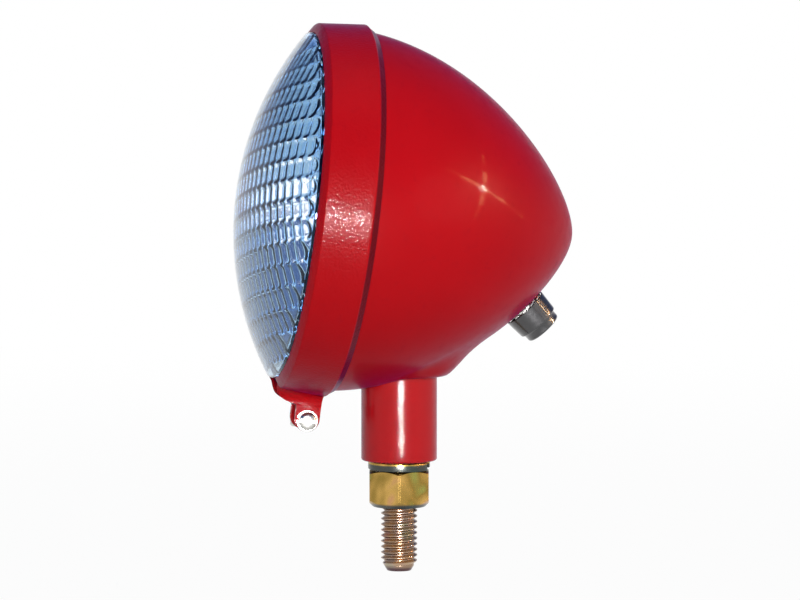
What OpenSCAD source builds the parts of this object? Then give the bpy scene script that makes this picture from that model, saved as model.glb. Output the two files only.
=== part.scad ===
// Round halogen headlamp with a teardrop shell on a threaded post.
// Millimetres. The origin is on the axis of the stud, half way down its bare
// thread. +Z runs up the post and the lamp shines towards -Y.
// The modules count heights from the post's seat, which at_seat() lifts to its
// place over the origin. Inside lamp_frame() the axis of the lamp is Z, with +Z
// to the rear from the post's axis, and +Y points down.

/* [Lamp] */
// Height of the lamp's axis over the seat, at the post
axis_height = 84.6; // [80:0.1:95]
// Upward aim of the lamp, degrees
aim = 6.8; // [0:0.1:8]

/* [Shell] */
// Outer radius of the shell at its shoulder
shell_r = 62.5; // [61.8:0.1:64]
// Distance of the shoulder in front of the post's axis
shoulder_front = 19; // [17:0.1:22]
// Distance of the tail behind the post's axis
tail_reach = 61.6; // [56:0.1:75]
// Slope of the side at the shoulder, degrees
shell_slope = 5.3; // [2:0.1:8]
// Length of the curve's handle at the shoulder, which fills the side
side_fullness = 47.4; // [40:0.1:52]
// Length of the curve's handle at the tail, which rounds the tail
tail_fullness = 14.5; // [10:0.1:22]
// Thickness of the shell's sheet
shell_wall = 1.2; // [0.8:0.1:1.6]
// Depth of the joggle at the shoulder, where the rim goes over the shell
joggle = 1.1; // [0.8:0.1:1.6]
// Distance of the flat pad round the post under the lamp's axis
pad_drop = 55.2; // [54:0.1:57]
// Radius of the pad's flat
pad_r = 17; // [15:0.1:19]
// Angle of the pad's flank to the post's axis, degrees
pad_flank = 43; // [35:1:50]

/* [Rim] */
// Gap between the rim's hem and the shell's shoulder
rim_gap = 0.5; // [0.4:0.1:1]
// How much smaller the rim's radius is at its front than at its rear
rim_narrowing = 1.4; // [0.5:0.1:1.8]
// Width of the rim's band, up to the curl
rim_width = 15.4; // [14.5:0.1:17]
// Outer radius of the curl at the front
rim_curl_r = 3.3; // [3:0.1:3.8]
// Thickness of the rim's sheet
rim_wall = 1.2; // [0.9:0.1:1.4]
// Depth of the hem at the rear edge, inwards
rim_hem = 0.5; // [0.3:0.1:0.8]

/* [Clamp] */
// Distance between the two ears, face to face
ear_gap = 9.8; // [8:0.1:14]
// Width of an ear
ear_width = 8.7; // [8:0.1:11]
// Distance of the ears' middle in front of the post's axis
ear_front = 24.8; // [24:0.1:28]
// Distance of the clamp screw outside the rim
clamp_screw_reach = 8.9; // [8.6:0.1:14]
// Distance from the clamp screw to the end of the ear
ear_end = 3.8; // [3.4:0.1:6]
// Radius of the bend at the root of the ear, to the middle of the sheet
ear_bend_r = 4.6; // [3:0.1:5]
// Radius of the clamp screw
clamp_screw_r = 2.4; // [2:0.1:2.6]
// Lead of the clamp screw's thread
clamp_pitch = 1.058; // [0.6:0.001:1.2]
// Radius of the clamp screw's head
clamp_head_r = 3.5; // [3.2:0.1:4.2]
// Height of the clamp screw's head
clamp_head_h = 2.6; // [2:0.1:3.2]
// Width of the clamp nut across its flats
clamp_nut_af = 8; // [7.5:0.1:8.4]
// Thickness of the clamp nut
clamp_nut_h = 3.2; // [2.4:0.1:4]
// How far the clamp screw's end stands out of its nut
clamp_screw_spare = 5; // [1:0.1:8]

/* [Lens] */
// Radius of the lens's dome, outside
lens_dome_r = 108.7; // [90:0.1:140]
// Thickness of the glass
lens_wall = 3.5; // [3:0.1:4.5]
// Gap round the lens inside the rim
lens_gap = 0.6; // [0.3:0.1:0.9]
// Thickness of the lens's flange
lens_flange_h = 3; // [2.6:0.1:3.2]
// Thickness of the gasket behind the lens
gasket_h = 1.5; // [1.2:0.1:1.8]

/* [Reflector] */
// Focal length of the reflector
focal_length = 20; // [19:0.1:22]
// Width of the flange that the gasket presses on
sealing_width = 4.5; // [4:0.1:6]
// Thickness of the reflector's sheet
reflector_wall = 0.8; // [0.6:0.1:1]

/* [Bulb] */
// Distance of the filament in front of the bulb's flange
light_centre = 18; // [17:0.1:19]
// Radius of the bulb's flange
bulb_flange_r = 11; // [10.5:0.1:11.5]
// Thickness of the bulb's flange
bulb_flange_h = 1.6; // [1.2:0.1:2]
// Radius of the glass capsule
capsule_r = 5.5; // [5:0.1:5.8]
// How far the capsule reaches beyond the filament
capsule_spare = 12; // [9:0.1:14]
// Radius of the bulb's hub behind its flange
bulb_hub_r = 6.5; // [5:0.1:7]
// Length of the bulb's hub
bulb_hub_h = 4.5; // [4:0.1:6]
// Diameter of the bulb's lead
bulb_lead_d = 2.6; // [2:0.1:3]
// Length of the bulb's lead, hub to terminal
bulb_lead_length = 7; // [5:0.1:8]
// Length of the terminal at the end of the lead
terminal_length = 12; // [9:0.1:13]

/* [Bulb clip] */
// Diameter of the clip's spring wire
clip_wire_d = 1.5; // [1.2:0.1:1.8]
// Distance of the clip's pivot above the lamp's axis
clip_pivot_rise = 17; // [16:0.1:18]
// Distance of the clip's crossbar below the lamp's axis
clip_end_drop = 16; // [15:0.1:16.5]
// Half the distance between the clip's legs
clip_half_width = 9; // [8.5:0.1:9.6]

/* [Post] */
// Diameter of the post
post_d = 26.4; // [24:0.1:30]
// Rounding of the post's lower edge
post_edge = 0.8; // [0.3:0.1:1]
// Diameter of the recess for the lock washer
washer_recess_d = 22.4; // [22:0.1:23]
// Depth of the recess for the lock washer
washer_recess_h = 0.4; // [0.2:0.1:1]

/* [Stud] */
// Diameter of the stud's thread over its crests
stud_d = 12.7; // [12:0.1:12.8]
// Pitch of the stud's thread
stud_pitch = 1.954; // [1.4:0.001:2.2]
// Length of the stud below the seat, tip included
stud_length = 38.6; // [34:0.1:60]
// Length of the stud's conical tip
tip_length = 3.6; // [2:0.1:5]
// Diameter at the end of the tip
tip_d = 8.4; // [6:0.1:9.5]
// Width of the bolt's head across its flats
bolt_head_af = 19; // [18:0.1:20]
// Height of the bolt's head
bolt_head_h = 7.9; // [6:0.1:9]
// Width of the mounting nut across its flats
nut_af = 20.6; // [19:0.1:22.2]
// Height of the mounting nut
nut_h = 12.7; // [10:0.1:14]
// Diameter of the round faces at the ends of the nut
nut_face_d = 18.4; // [17:0.1:19]
// Thickness of the lock washer's section
washer_h = 2.8; // [2:0.1:3.2]
// Outer diameter of the lock washer
washer_d = 21.6; // [20:0.1:21.8]
// How much higher one end of the lock washer stands than the other
washer_rise = 1; // [0.4:0.1:2]
// Radius of the saddle washer under the bolt's head
saddle_r = 12; // [11:0.1:14]
// Least thickness of the saddle washer, at its rear edge
saddle_edge = 1; // [0.6:0.1:3]

/* [Gland] */
// Distance of the gland behind the post's axis, on the shell
gland_reach = 47.6; // [40:0.1:52]
// Depth of the flat that the gland's washer sits on
gland_sink = 0.4; // [0.2:0.1:0.6]
// Diameter of the gland at the shell
gland_base_d = 16.2; // [14:0.1:18]
// Diameter of the gland at its shoulder
gland_shoulder_d = 15.2; // [13.8:0.1:16]
// Length of the gland up to its shoulder
gland_length = 8.2; // [5:0.1:10]
// Diameter of the gland's end
gland_end_d = 13.4; // [12:0.1:13.6]
// Length of the gland's end
gland_end_length = 3; // [2:0.1:5]
// Diameter of the gland's threaded part through the shell
gland_thread_d = 11.8; // [10:0.1:12]
// Diameter of the hole for the supply lead
gland_bore_d = 6.4; // [5:0.1:7]
// Thickness of the toothed washer under the gland
tooth_washer_h = 0.8; // [0.5:0.1:1.2]
// Number of teeth on that washer
tooth_count = 14; // [8:1:18]
// Thickness of the gland's nut inside the shell
gland_nut_h = 3.4; // [2.5:0.1:4.5]

/* [Fits] */
// Gap round the stud's crests inside its nut
thread_gap = 0.05; // [0.02:0.01:0.1]
// Gap round bolts and screws in plain holes
hole_gap = 0.4; // [0.2:0.05:0.6]
// Gap between curved faces of pieces that move apart
free_gap = 0.35; // [0.3:0.01:0.5]
// Gap round the clip's pivot
pivot_gap = 0.07; // [0.03:0.01:0.1]
// Gap between pieces that sit in one another and stay together
seat_gap = 0.05; // [0.02:0.01:0.2]

/* [Hidden] */
$fn = 96;
small_fn = 48;
wire_fn = 24;
far = 300;

paint = "firebrick";
zinc = "darkkhaki";
steel = "silver";

// Height of the pad round the post over the seat
pad_height = axis_height - pad_drop;

// Radii of the rim, and of what sits inside it
rim_rear_r = shell_r + rim_gap + rim_hem + rim_wall;
rim_front_r = rim_rear_r - rim_narrowing;
rim_opening_r = rim_front_r - rim_curl_r;
lens_flange_r = rim_front_r - rim_wall - lens_gap;
lens_face_r = rim_opening_r - free_gap;
bowl_r = lens_flange_r - sealing_width;

// Places along the lamp's axis, from the front
joggle_length = 1.2;
play = 0.2;
rim_rear_front = shoulder_front + joggle_length;
rim_curl_at = -(rim_rear_front + rim_width);
lip_back = rim_curl_at - rim_curl_r + rim_wall;
lens_front_at = lip_back + play;
lens_back_at = lens_front_at + lens_flange_h;
gasket_back_at = lens_back_at + gasket_h;
reflector_back_at = gasket_back_at + reflector_wall;
mouth_at = reflector_back_at + play;
bowl_apex_at = gasket_back_at + bowl_r * bowl_r / (4 * focal_length);
filament_at = bowl_apex_at - focal_length;
bulb_seat_at = filament_at + light_centre;
bulb_back_at = bulb_seat_at + bulb_flange_h;
clip_at = bulb_back_at + free_gap + clip_wire_d / 2;

// The rim's cone, and the shell's mouth inside it
rim_taper = rim_narrowing / rim_width;
function rim_outer(at) = rim_front_r + (at - rim_curl_at) * rim_taper;
mouth_flange_r = rim_outer(mouth_at) - rim_wall - free_gap;
mouth_r = shell_r - joggle;

// Shell's outer curve, from the shoulder to the tail
shell_steps = 22;
curve = [[shell_r, -shoulder_front],
    [shell_r - side_fullness * sin(shell_slope), -shoulder_front + side_fullness * cos(shell_slope)],
    [tail_fullness, tail_reach], [0, tail_reach]];

function curve_point(t) = pow(1 - t, 3) * curve[0] + 3 * pow(1 - t, 2) * t * curve[1]
    + 3 * (1 - t) * t * t * curve[2] + pow(t, 3) * curve[3];
function curve_slope(t) = 3 * pow(1 - t, 2) * (curve[1] - curve[0])
    + 6 * (1 - t) * t * (curve[2] - curve[1]) + 3 * t * t * (curve[3] - curve[2]);
function inward(t) = let (s = curve_slope(t)) [-s[1], s[0]] / norm(s);
function curve_inset(t, depth) = let (p = curve_point(t) + depth * inward(t)) [max(0, p[0]), p[1]];
function shell_curve(depth) = [for (i = [0:shell_steps]) curve_inset(i / shell_steps, depth)];

// Radius of the shell's outer face by its place along the axis
outer_table = [for (p = shell_curve(0)) [p[1], p[0]]];
// Height of the shell's inner floor by its distance behind the post's axis
floor_table = [for (p = shell_curve(shell_wall))
    [p[1] * cos(aim) - p[0] * sin(aim), axis_height - p[0] * cos(aim) - p[1] * sin(aim)]];

module lamp_frame() {
    translate([0, 0, axis_height]) rotate([-(90 + aim), 0, 0]) children();
}

// The space inside the shell's outer or inner face, open towards the front
module shell_space(depth, front_at) {
    rotate_extrude()
        polygon(concat([[0, front_at], [mouth_r - depth, front_at],
            [mouth_r - depth, -rim_rear_front]], shell_curve(depth), [[0, tail_reach - depth]]));
}

// The cone that draws the shell down to the flat pad round the post
pad_rise = 12;
module pad_space() {
    translate([0, 0, pad_height])
        cylinder(h = pad_rise, r1 = pad_r, r2 = pad_r + pad_rise * tan(pad_flank));
}

// The gland stands square to the shell
gland_drop = lookup(gland_reach, outer_table);
gland_fall = (lookup(gland_reach - 3, outer_table) - lookup(gland_reach + 3, outer_table)) / 6;
gland_angle = atan2(1, gland_fall);

module gland_frame() {
    lamp_frame() translate([0, gland_drop, gland_reach]) rotate([-gland_angle, 0, 0])
        translate([0, 0, -gland_sink]) children();
}

module shell() {
    color(paint) difference() {
        union() {
            lamp_frame() shell_space(0, mouth_at);
            pad_space();
            lamp_frame() translate([0, 0, mouth_at]) cylinder(h = shell_wall, r = mouth_flange_r);
        }
        lamp_frame() shell_space(shell_wall, mouth_at - 1);
        cylinder(h = pad_height + pad_rise, r = stud_d / 2 + hole_gap, $fn = small_fn);
        gland_frame() translate([0, 0, -8])
            cylinder(h = 16, d = gland_thread_d + hole_gap, $fn = small_fn);
        gland_seat();
    }
}

// A flat spot for the gland's washer
module gland_seat() {
    gland_frame() cylinder(h = 10, d = gland_base_d + 2 * free_gap, $fn = small_fn);
}

module mount_post() {
    r = post_d / 2;
    top = pad_height + pad_rise;
    color(paint) difference() {
        rotate_extrude()
            polygon([[0, 0], [r - post_edge, 0], for (a = [15:15:75])
                [r - post_edge + post_edge * sin(a), post_edge - post_edge * cos(a)],
                [r, post_edge], [r, top], [0, top]]);
        lamp_frame() shell_space(0, mouth_at);
        pad_space();
        cylinder(h = top + 1, r = stud_d / 2 + hole_gap, $fn = small_fn);
        translate([0, 0, -1]) cylinder(h = washer_recess_h + 1, d = washer_recess_d);
    }
}

// Places down the stud
washer_top = washer_recess_h;
nut_top = washer_top - washer_h - washer_rise;
nut_bottom = nut_top - nut_h;
saddle_top = lookup(saddle_r, floor_table) + saddle_edge;

// Ridges of a thread, as points of a profile, from the top down. Roots are flat for
// an eighth of the pitch, and crests too unless they are sharp.
function thread_depth(pitch) = 0.613 * pitch;
function crest(r, z, flat) = flat > 0 ? [[r, z + flat / 2], [r, z - flat / 2]] : [[r, z]];
function ridges(r, pitch, top, count, flat) = let (root_r = r - thread_depth(pitch), half = pitch * 7 / 16)
    [for (i = [0:count - 1]) let (z = top - (i + 0.5) * pitch)
        each concat([[root_r, z + half]], crest(r, z, flat), [[root_r, z - half]])];

// Height of the seat over the origin, which is half way down the bare thread
seat_at = (stud_length - tip_length - nut_bottom) / 2;
module at_seat() {
    translate([0, 0, seat_at]) children();
}

// The turns inside the nut and the washer come to sharp crests, the bare ones are flat
module mount_bolt() {
    r = stud_d / 2;
    tip_top = tip_length - stud_length;
    bare_count = floor((nut_bottom - tip_top) / stud_pitch);
    bare_top = tip_top + bare_count * stud_pitch;
    hidden_count = ceil((washer_top + stud_pitch - bare_top) / stud_pitch);
    hidden_top = bare_top + hidden_count * stud_pitch;
    root_r = r - thread_depth(stud_pitch);
    shank_r = (r + root_r) / 2;
    color(zinc) {
        rotate_extrude()
            polygon(concat([[0, saddle_top + 1], [shank_r, saddle_top + 1],
                [shank_r, hidden_top + stud_pitch], [root_r, hidden_top]],
                ridges(r, stud_pitch, hidden_top, hidden_count, 0),
                ridges(r, stud_pitch, bare_top, bare_count, stud_pitch / 8),
                [[r - 0.4, tip_top - 0.4], [tip_d / 2, -stud_length], [0, -stud_length]]));
        translate([0, 0, saddle_top]) hex_head(bolt_head_af, bolt_head_h);
    }
}

module hex_head(across_flats, height) {
    intersection() {
        cylinder(h = height, d = across_flats / cos(30), $fn = 6);
        union() {
            cylinder(h = height - 1.5, d = across_flats * 1.2);
            translate([0, 0, height - 1.5])
                cylinder(h = 1.5, d1 = across_flats * 1.2, d2 = across_flats * 0.9);
        }
    }
}

module saddle_washer() {
    color(steel) difference() {
        intersection() {
            cylinder(h = saddle_top, r = saddle_r);
            lamp_frame() shell_space(shell_wall + seat_gap, mouth_at);
        }
        cylinder(h = saddle_top + 1, r = stud_d / 2 + hole_gap, $fn = small_fn);
    }
}

// One corner of the lock washer's section at step i of its turn. The washer is
// split where it faces split_at, by washer_split degrees.
washer_steps = 40;
washer_split = 10;
split_at = 60;
function washer_corner(i, r, drop) = let (
    a = split_at + washer_split / 2 + i * (360 - washer_split) / washer_steps)
    [r * cos(a), r * sin(a), washer_top - drop - washer_rise * i / washer_steps];

module lock_washer() {
    inner = stud_d / 2 + hole_gap;
    outer = washer_d / 2;
    last = 4 * washer_steps;
    points = [for (i = [0:washer_steps]) each [washer_corner(i, inner, 0), washer_corner(i, outer, 0),
        washer_corner(i, outer, washer_h), washer_corner(i, inner, washer_h)]];
    sides = [for (i = [0:washer_steps - 1], k = [0:3]) let (a = 4 * i + k, b = 4 * i + (k + 1) % 4)
        each [[a, b + 4, b], [a, a + 4, b + 4]]];
    color(zinc) polyhedron(points, concat(sides, [[0, 2, 3], [0, 1, 2],
        [last, last + 2, last + 1], [last, last + 3, last + 2]]));
}

// Way that one of the nut's corners faces
nut_corner_at = -10;

module mount_nut() {
    corner = nut_af / cos(30) / 2;
    face_r = nut_face_d / 2;
    reach = corner + 0.8;
    color(zinc) translate([0, 0, nut_bottom]) difference() {
        intersection() {
            rotate(nut_corner_at) cylinder(h = nut_h, r = corner, $fn = 6);
            rotate_extrude()
                polygon([[0, 0], [face_r, 0], [reach, reach - face_r], [reach, nut_h - 1.5],
                    [corner - 1.6, nut_h], [0, nut_h]]);
        }
        translate([0, 0, -1]) cylinder(h = nut_h + 2, r = stud_d / 2 + thread_gap);
    }
}

module gland_body() {
    base_at = tooth_washer_h;
    shoulder_at = gland_length;
    end_at = gland_length + gland_end_length;
    inner_at = -(shell_wall + gland_nut_h + 2);
    bore_r = gland_bore_d / 2;
    color([0.08, 0.08, 0.08]) gland_frame() rotate_extrude()
        polygon([[bore_r, inner_at], [gland_thread_d / 2, inner_at], [gland_thread_d / 2, base_at],
            [gland_base_d / 2, base_at], [gland_shoulder_d / 2, shoulder_at - 0.3],
            [gland_shoulder_d / 2 - 0.3, shoulder_at], [gland_end_d / 2, shoulder_at],
            [gland_end_d / 2 - 0.1, end_at - 0.4], [gland_end_d / 2 - 0.5, end_at], [bore_r, end_at]]);
}

module gland_washer() {
    tooth = 360 / tooth_count;
    color(steel) gland_frame() difference() {
        cylinder(h = tooth_washer_h, d = gland_base_d);
        translate([0, 0, -1]) cylinder(h = tooth_washer_h + 2, r = gland_thread_d / 2 + seat_gap);
        for (i = [0:tooth_count - 1])
            rotate(i * tooth) translate([gland_base_d / 2, 0, -1])
                cylinder(h = tooth_washer_h + 2, r = 0.9, $fn = wire_fn);
    }
}

// How far the shell's inside curves away under the corners of the gland's nut
gland_sag = 1;

module gland_nut() {
    nut_at = gland_sink - shell_wall - gland_sag - gland_nut_h;
    color(steel) gland_frame() translate([0, 0, nut_at]) difference() {
        cylinder(h = gland_nut_h, d = gland_base_d, $fn = 6);
        translate([0, 0, -1]) cylinder(h = gland_nut_h + 2, r = gland_thread_d / 2 + seat_gap);
    }
}

// Sheet of the rim, seen as a profile of radius and place along the axis
module rim_profile() {
    rear = -rim_rear_front;
    curl_r = rim_curl_r - rim_wall;
    lip_r = rim_opening_r;
    polygon(concat(
        [[rim_rear_r - 0.4, rear], [rim_rear_r, rear - 0.5]],
        [for (a = [0:15:90]) [lip_r + rim_curl_r * cos(a), rim_curl_at - rim_curl_r * sin(a)]],
        [for (a = [90:-15:0]) [lip_r + curl_r * cos(a), rim_curl_at - curl_r * sin(a)]],
        [[rim_outer(rear - 1.4) - rim_wall, rear - 1.4], [rim_rear_r - rim_wall - rim_hem, rear - 1.4],
            [rim_rear_r - rim_wall - rim_hem, rear]]));
}

// The bend that turns the band out into an ear, and where it starts. The bend is a
// little thinner than the band and starts inside the band's end.
ear_x = (ear_gap + rim_wall) / 2;
bend_x = ear_x + ear_bend_r;
band_mid_r = rim_outer(-ear_front) - rim_wall / 2;
clamp_screw_drop = rim_outer(-ear_front) + clamp_screw_reach;
bend_y = sqrt(pow(band_mid_r + ear_bend_r, 2) - pow(bend_x, 2));
bend_start = atan2(bend_x, bend_y);
bend_lap = 0.6;
bend_wall = rim_wall - 0.12;

module ear_bend() {
    rear = -rim_rear_front;
    reach = bend_y + 0.2;
    function bend_radius(at) = ear_bend_r - (rim_outer(at) - rim_outer(-ear_front));
    intersection() {
        translate([bend_x, bend_y, 0]) rotate(180) rotate_extrude(angle = 90 - bend_start)
            polygon([[bend_radius(rim_curl_at) - bend_wall / 2, rim_curl_at],
                [bend_radius(rim_curl_at) + bend_wall / 2, rim_curl_at],
                [bend_radius(rear) + bend_wall / 2, rear], [bend_radius(rear) - bend_wall / 2, rear]]);
        translate([-1, 0, 0]) rotate([0, 90, 0]) rotate(90) linear_extrude(40)
            polygon([[0, rim_curl_at], [band_mid_r - 1, rim_curl_at],
                [reach, -ear_front - ear_width / 2], [reach, -ear_front + ear_width / 2],
                [band_mid_r - 1, rear], [0, rear]]);
    }
}

module ear() {
    ear_bend();
    translate([ear_gap / 2, 0, 0]) rotate([0, 90, 0]) linear_extrude(rim_wall) rotate(90)
        difference() {
            union() {
                translate([bend_y - 0.3, -ear_front - ear_width / 2])
                    square([clamp_screw_drop + ear_end - ear_width / 2 - bend_y + 0.3, ear_width]);
                translate([clamp_screw_drop + ear_end - ear_width / 2, -ear_front])
                    circle(d = ear_width, $fn = small_fn);
            }
            translate([clamp_screw_drop, -ear_front])
                circle(r = clamp_screw_r + hole_gap, $fn = small_fn);
        }
}

module clamp_rim() {
    color(paint) lamp_frame() {
        rotate(90 + bend_start - bend_lap)
            rotate_extrude(angle = 360 - 2 * (bend_start - bend_lap)) rim_profile();
        ear();
        mirror([1, 0, 0]) ear();
    }
}

module clamp_axis() {
    lamp_frame() translate([0, clamp_screw_drop, -ear_front]) rotate([0, 90, 0]) children();
}

ear_outside = ear_gap / 2 + rim_wall;
clamp_washer_h = 0.9;

module clamp_screw() {
    head_at = ear_outside + clamp_washer_h;
    end_at = -(ear_outside + clamp_nut_h + clamp_screw_spare);
    turns = floor((-ear_gap / 4 - end_at) / clamp_pitch);
    thread_top = end_at + turns * clamp_pitch;
    root_r = clamp_screw_r - thread_depth(clamp_pitch);
    color(steel) clamp_axis() difference() {
        union() {
            rotate_extrude($fn = small_fn)
                polygon(concat([[0, head_at], [clamp_screw_r, head_at],
                    [clamp_screw_r, thread_top + thread_depth(clamp_pitch)]],
                    ridges(clamp_screw_r, clamp_pitch, thread_top, turns, clamp_pitch / 8),
                    [[root_r, end_at], [0, end_at]]));
            translate([0, 0, head_at]) rotate_extrude($fn = small_fn)
                polygon([[0, 0], [clamp_head_r, 0], [clamp_head_r, clamp_head_h * 0.55],
                    [clamp_head_r * 0.85, clamp_head_h * 0.85], [clamp_head_r * 0.6, clamp_head_h],
                    [0, clamp_head_h]]);
        }
        translate([-far / 2, -0.6, head_at + clamp_head_h * 0.5]) cube([far, 1.2, far]);
    }
}

module clamp_washer() {
    color(steel) clamp_axis() translate([0, 0, ear_outside]) difference() {
        cylinder(h = clamp_washer_h, r = clamp_head_r + 0.3, $fn = small_fn);
        translate([0, 0, -1])
            cylinder(h = clamp_washer_h + 2, r = clamp_screw_r + hole_gap, $fn = small_fn);
        translate([0, -0.4, -1]) cube([far, 0.8, far]);
    }
}

module clamp_nut() {
    color(steel) clamp_axis() translate([0, 0, -ear_outside - clamp_nut_h]) difference() {
        translate([-clamp_nut_af / 2, -clamp_nut_af / 2, 0])
            cube([clamp_nut_af, clamp_nut_af, clamp_nut_h]);
        translate([0, 0, -1])
            cylinder(h = clamp_nut_h + 2, r = clamp_screw_r + thread_gap, $fn = small_fn);
    }
}

// Centre of the dome, whose outer face meets the rim's lip
dome_edge_at = lip_back - rim_wall;
dome_centre_at = dome_edge_at + sqrt(pow(lens_dome_r, 2) - pow(lens_face_r, 2));
lens_clear_r = bowl_r + 0.5;

module dome(radius, edge_r, back_at, steps) {
    edge_angle = asin(edge_r / radius);
    rotate_extrude()
        polygon(concat([for (i = [0:steps]) let (a = edge_angle * i / steps)
            [radius * sin(a), dome_centre_at - radius * cos(a)]],
            [[edge_r, back_at], [0, back_at]]));
}

// The lens's flange, with a round front edge that sits in the rim's curl
module lens_flange() {
    edge_r = rim_curl_r - rim_wall - play;
    edge_turn = 90 - acos((lens_flange_r - rim_opening_r) / edge_r);
    rotate_extrude()
        polygon(concat([[0, lens_front_at]],
            [for (i = [0:4]) let (a = 90 - edge_turn * i / 4)
                [rim_opening_r + edge_r * cos(a), rim_curl_at - edge_r * sin(a)]],
            [[lens_flange_r, lens_back_at], [0, lens_back_at]]));
}

module lens() {
    color([0.85, 0.92, 0.95, 0.5]) lamp_frame() difference() {
        union() {
            dome(lens_dome_r, lens_face_r, lens_front_at + 0.5, 16);
            lens_flange();
        }
        dome(lens_dome_r - lens_wall, lens_clear_r, lens_back_at + 1, 16);
    }
}

module lens_gasket() {
    color([0.1, 0.1, 0.1]) lamp_frame() translate([0, 0, lens_back_at]) difference() {
        cylinder(h = gasket_h, r = lens_flange_r - play);
        translate([0, 0, -1]) cylinder(h = gasket_h + 2, r = lens_clear_r);
    }
}

// The reflector's neck, which holds the bulb's holder
neck_r = 14;
neck_at = bulb_seat_at + 0.4;

module reflector() {
    steps = 20;
    flange_r = lens_flange_r - play;
    function bowl_at(r) = bowl_apex_at - r * r / (4 * focal_length);
    function wall(r) = reflector_wall * [2 * focal_length, r] / norm([2 * focal_length, r]);
    inner = [for (i = [0:steps]) let (r = bowl_r + (neck_r - bowl_r) * i / steps) [r, bowl_at(r)]];
    outer = [for (i = [steps:-1:0]) let (r = bowl_r + (neck_r - bowl_r) * i / steps)
        [r + wall(r)[1], bowl_at(r) + wall(r)[0]]];
    color("gainsboro") lamp_frame() rotate_extrude()
        polygon(concat([[flange_r, gasket_back_at]], inner,
            [[neck_r, neck_at], [neck_r + reflector_wall, neck_at]],
            [for (p = outer) if (p[1] > reflector_back_at && p[0] > neck_r + reflector_wall) p],
            [[lens_clear_r, reflector_back_at], [flange_r, reflector_back_at]]));
}

module bulb_holder() {
    wall = 1.2;
    lug_r = 1.7;
    front_at = bulb_seat_at - wall;
    flange_r = clip_pivot_rise + 2;
    lug_x = clip_half_width - clip_wire_d / 2 - free_gap - wall;
    catch_w = 8;
    module lug() {
        translate([lug_x, 0, 0]) rotate([0, 90, 0]) linear_extrude(wall) rotate(90) difference() {
            union() {
                translate([-clip_pivot_rise - lug_r, bulb_back_at - 0.5])
                    square([2 * lug_r, clip_at - bulb_back_at + 0.5]);
                translate([-clip_pivot_rise, clip_at]) circle(r = lug_r, $fn = small_fn);
            }
            translate([-clip_pivot_rise, clip_at])
                circle(r = clip_wire_d / 2 + pivot_gap, $fn = small_fn);
        }
    }
    color(steel) lamp_frame() {
        difference() {
            union() {
                translate([0, 0, front_at]) cylinder(h = bulb_back_at - front_at, r = neck_r - seat_gap);
                translate([0, 0, neck_at]) cylinder(h = bulb_back_at - neck_at, r = flange_r);
            }
            translate([0, 0, bulb_seat_at]) cylinder(h = 10, r = bulb_flange_r + play);
            translate([0, 0, front_at - 1]) cylinder(h = 10, r = capsule_r + 1);
        }
        lug();
        mirror([1, 0, 0]) lug();
        translate([-catch_w / 2, clip_end_drop + clip_wire_d / 2 + free_gap, neck_at])
            cube([catch_w, wall, clip_at + clip_wire_d - neck_at]);
    }
}

// Foot of the glass over the bulb's seat, and the solid pinch above it
foot_lift = 0.4;
pinch_h = 3;

module bulb_base() {
    hub_back = bulb_back_at + bulb_hub_h;
    collar_front = bulb_seat_at - 4;
    foot_r = capsule_r - 1.2;
    collar_r = capsule_r + seat_gap;
    color(steel) lamp_frame() rotate_extrude()
        polygon([[0, bulb_seat_at], [foot_r, bulb_seat_at], [foot_r, bulb_seat_at - foot_lift],
            [collar_r, bulb_seat_at - foot_lift], [collar_r, collar_front],
            [collar_r + 0.6, collar_front], [collar_r + 0.6, bulb_seat_at],
            [bulb_flange_r, bulb_seat_at], [bulb_flange_r, bulb_back_at],
            [bulb_hub_r, bulb_back_at], [bulb_hub_r, hub_back], [0, hub_back]]);
}

module bulb_capsule() {
    wall = 0.9;
    top_at = filament_at - capsule_spare;
    foot_at = bulb_seat_at - foot_lift;
    color([0.9, 0.95, 1, 0.5]) lamp_frame() difference() {
        capsule_solid(capsule_r, top_at, foot_at);
        capsule_solid(capsule_r - wall, top_at + wall, foot_at - pinch_h);
    }
}

module capsule_solid(radius, top_at, foot_at) {
    rotate_extrude($fn = small_fn)
        polygon(concat([for (a = [0:15:90])
            [radius * sin(a), top_at + radius * (1 - cos(a))]], [[radius, foot_at], [0, foot_at]]));
}

// The coil lies across the lamp's axis, between two support wires
module bulb_filament() {
    coil_length = 5;
    wire_r = 0.35;
    color(steel) lamp_frame() {
        translate([-coil_length / 2, 0, filament_at]) rotate([0, 90, 0])
            cylinder(h = coil_length, r = 0.8, $fn = wire_fn);
        for (side = [-1, 1])
            translate([side * coil_length / 2, 0, filament_at - wire_r])
                cylinder(h = light_centre - foot_lift - pinch_h + wire_r, r = wire_r, $fn = wire_fn);
    }
}

module bulb_lead() {
    color([0.1, 0.1, 0.1]) lamp_frame() translate([0, 0, bulb_back_at + bulb_hub_h])
        cylinder(h = bulb_lead_length, d = bulb_lead_d, $fn = wire_fn);
}

module bulb_terminal() {
    color([0.8, 0.8, 0.75]) lamp_frame()
        translate([0, 0, bulb_back_at + bulb_hub_h + bulb_lead_length]) difference() {
            translate([-4, -2, 0]) cube([8, 4, terminal_length]);
            translate([-3.3, -0.6, 2]) cube([6.6, 1.2, terminal_length]);
        }
}

module bulb_clip() {
    wire_r = clip_wire_d / 2;
    half = clip_half_width;
    color(steel) lamp_frame() translate([0, 0, clip_at]) {
        for (y = [-clip_pivot_rise, clip_end_drop])
            translate([-half, y, 0]) rotate([0, 90, 0]) cylinder(h = 2 * half, r = wire_r, $fn = wire_fn);
        for (side = [-1, 1]) {
            translate([side * half, -clip_pivot_rise, 0]) rotate([-90, 0, 0])
                cylinder(h = clip_pivot_rise + clip_end_drop, r = wire_r, $fn = wire_fn);
            for (y = [-clip_pivot_rise, clip_end_drop])
                translate([side * half, y, 0]) sphere(r = wire_r, $fn = wire_fn);
        }
    }
}

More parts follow.
